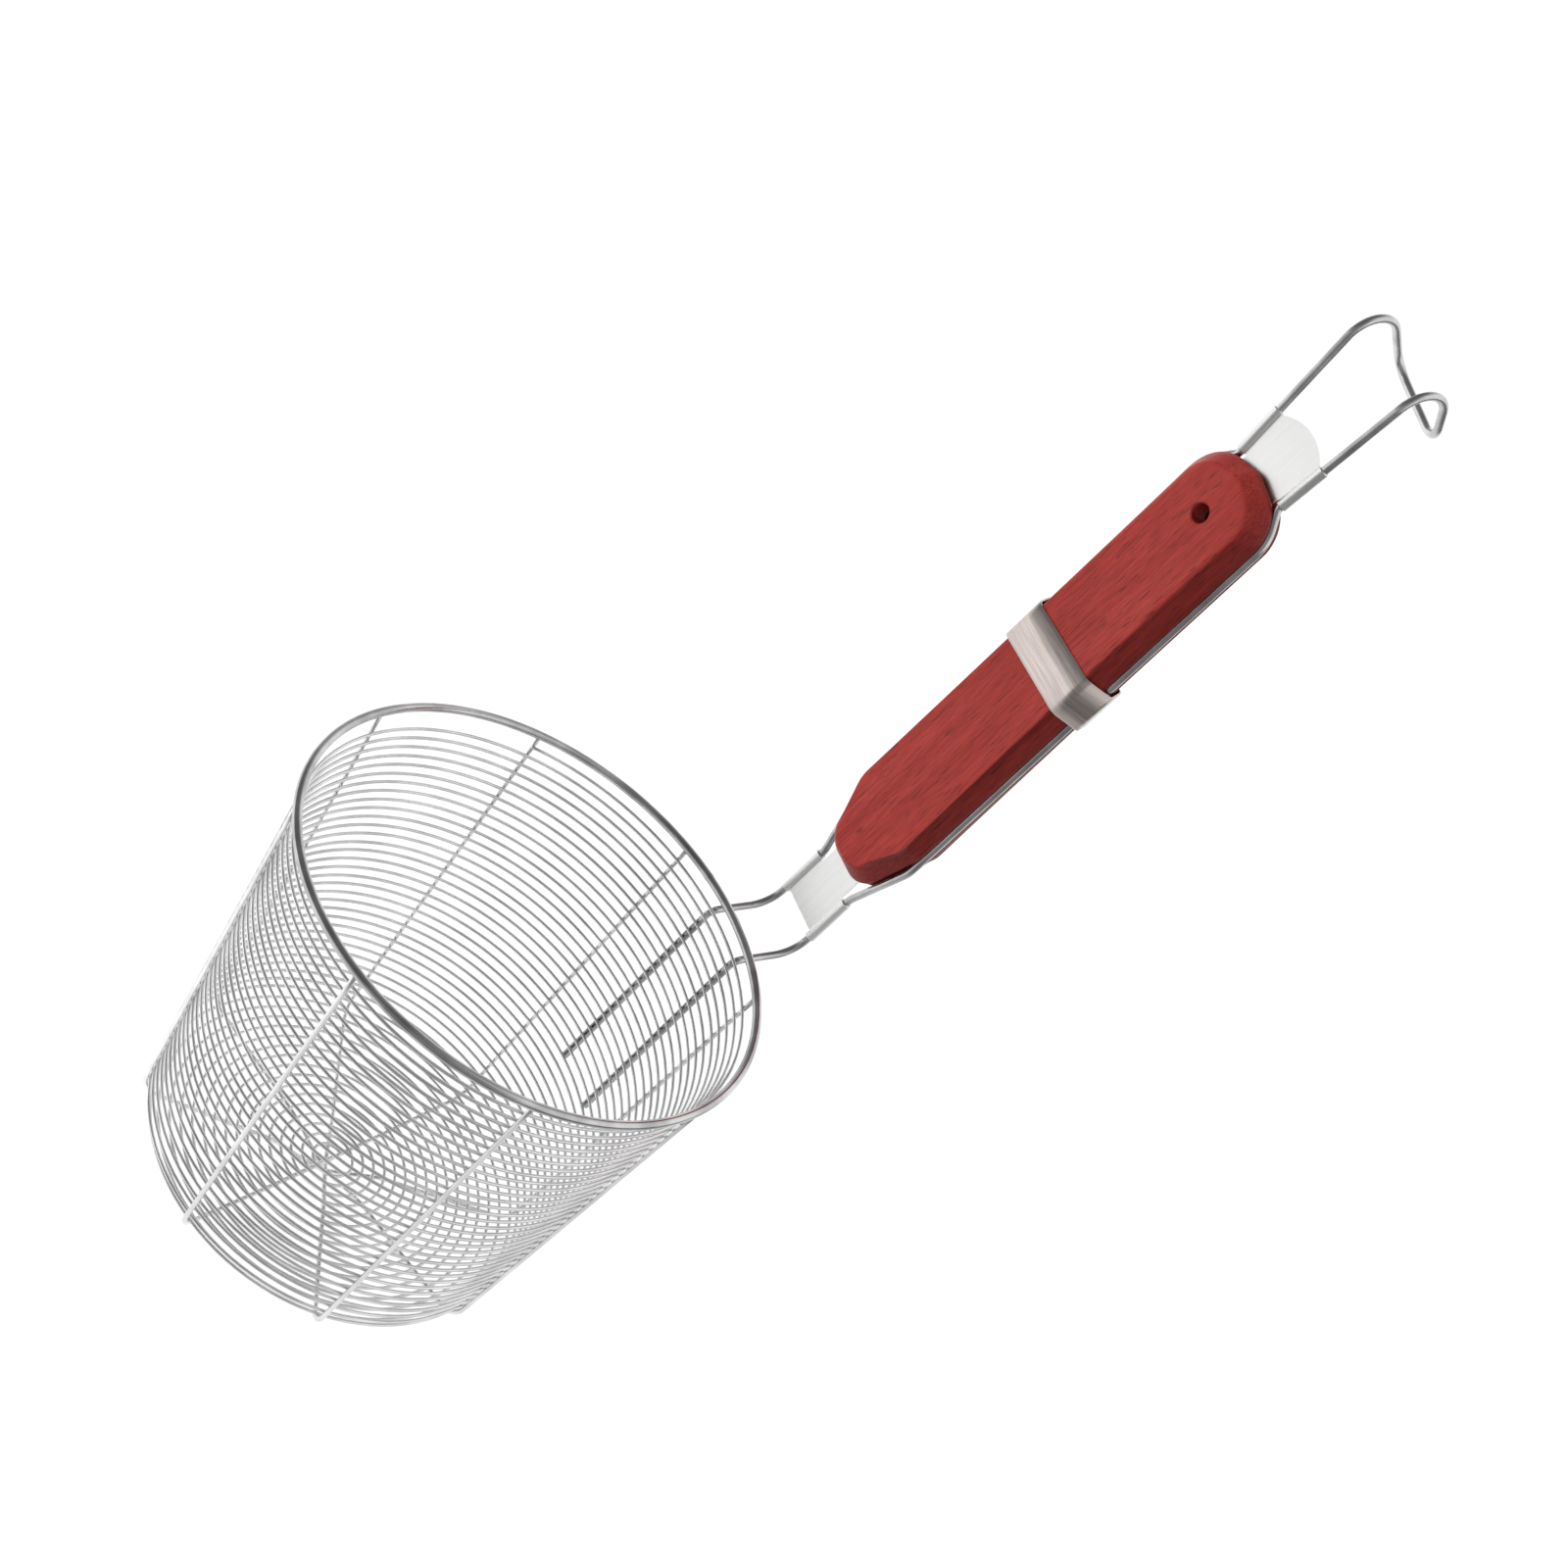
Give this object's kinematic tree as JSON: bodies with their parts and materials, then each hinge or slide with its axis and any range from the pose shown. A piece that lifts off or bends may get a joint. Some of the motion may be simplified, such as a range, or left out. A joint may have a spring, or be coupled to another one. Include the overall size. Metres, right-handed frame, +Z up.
{
  "type": "noodle strainer basket",
  "caption": "Deep round wire strainer basket with a steep wire handle, two varnished wooden scales, a steel band and a curled hook end.",
  "frame": {"origin": "on the basket's axis, at the level of the lowest crossing of the rib wires, which the basket stands on", "axes": "+Z up along the basket's axis, +X towards the handle, +Y across the handle"},
  "size_m": [0.2113, 0.1426, 0.3616],
  "materials": {
    "steel_wire": "bright drawn stainless wire",
    "rib_wire": "bright drawn stainless wire",
    "steel_sheet": "plain rolled sheet",
    "band_steel": "brushed along the strip",
    "varnished_wood": "red-brown varnish over straight grain"
  },
  "bodies": {
    "root": {"rim_ring": "steel_wire", "winding": "steel_wire", "rib_1": "rib_wire", "rib_2": "rib_wire", "rib_3": "rib_wire", "rib_4": "rib_wire", "frame_wire": "steel_wire", "front_clip": "steel_sheet", "rear_clip": "steel_sheet", "upper_scale": "varnished_wood", "lower_scale": "varnished_wood", "band": "band_steel"}
  },
  "joints": []
}
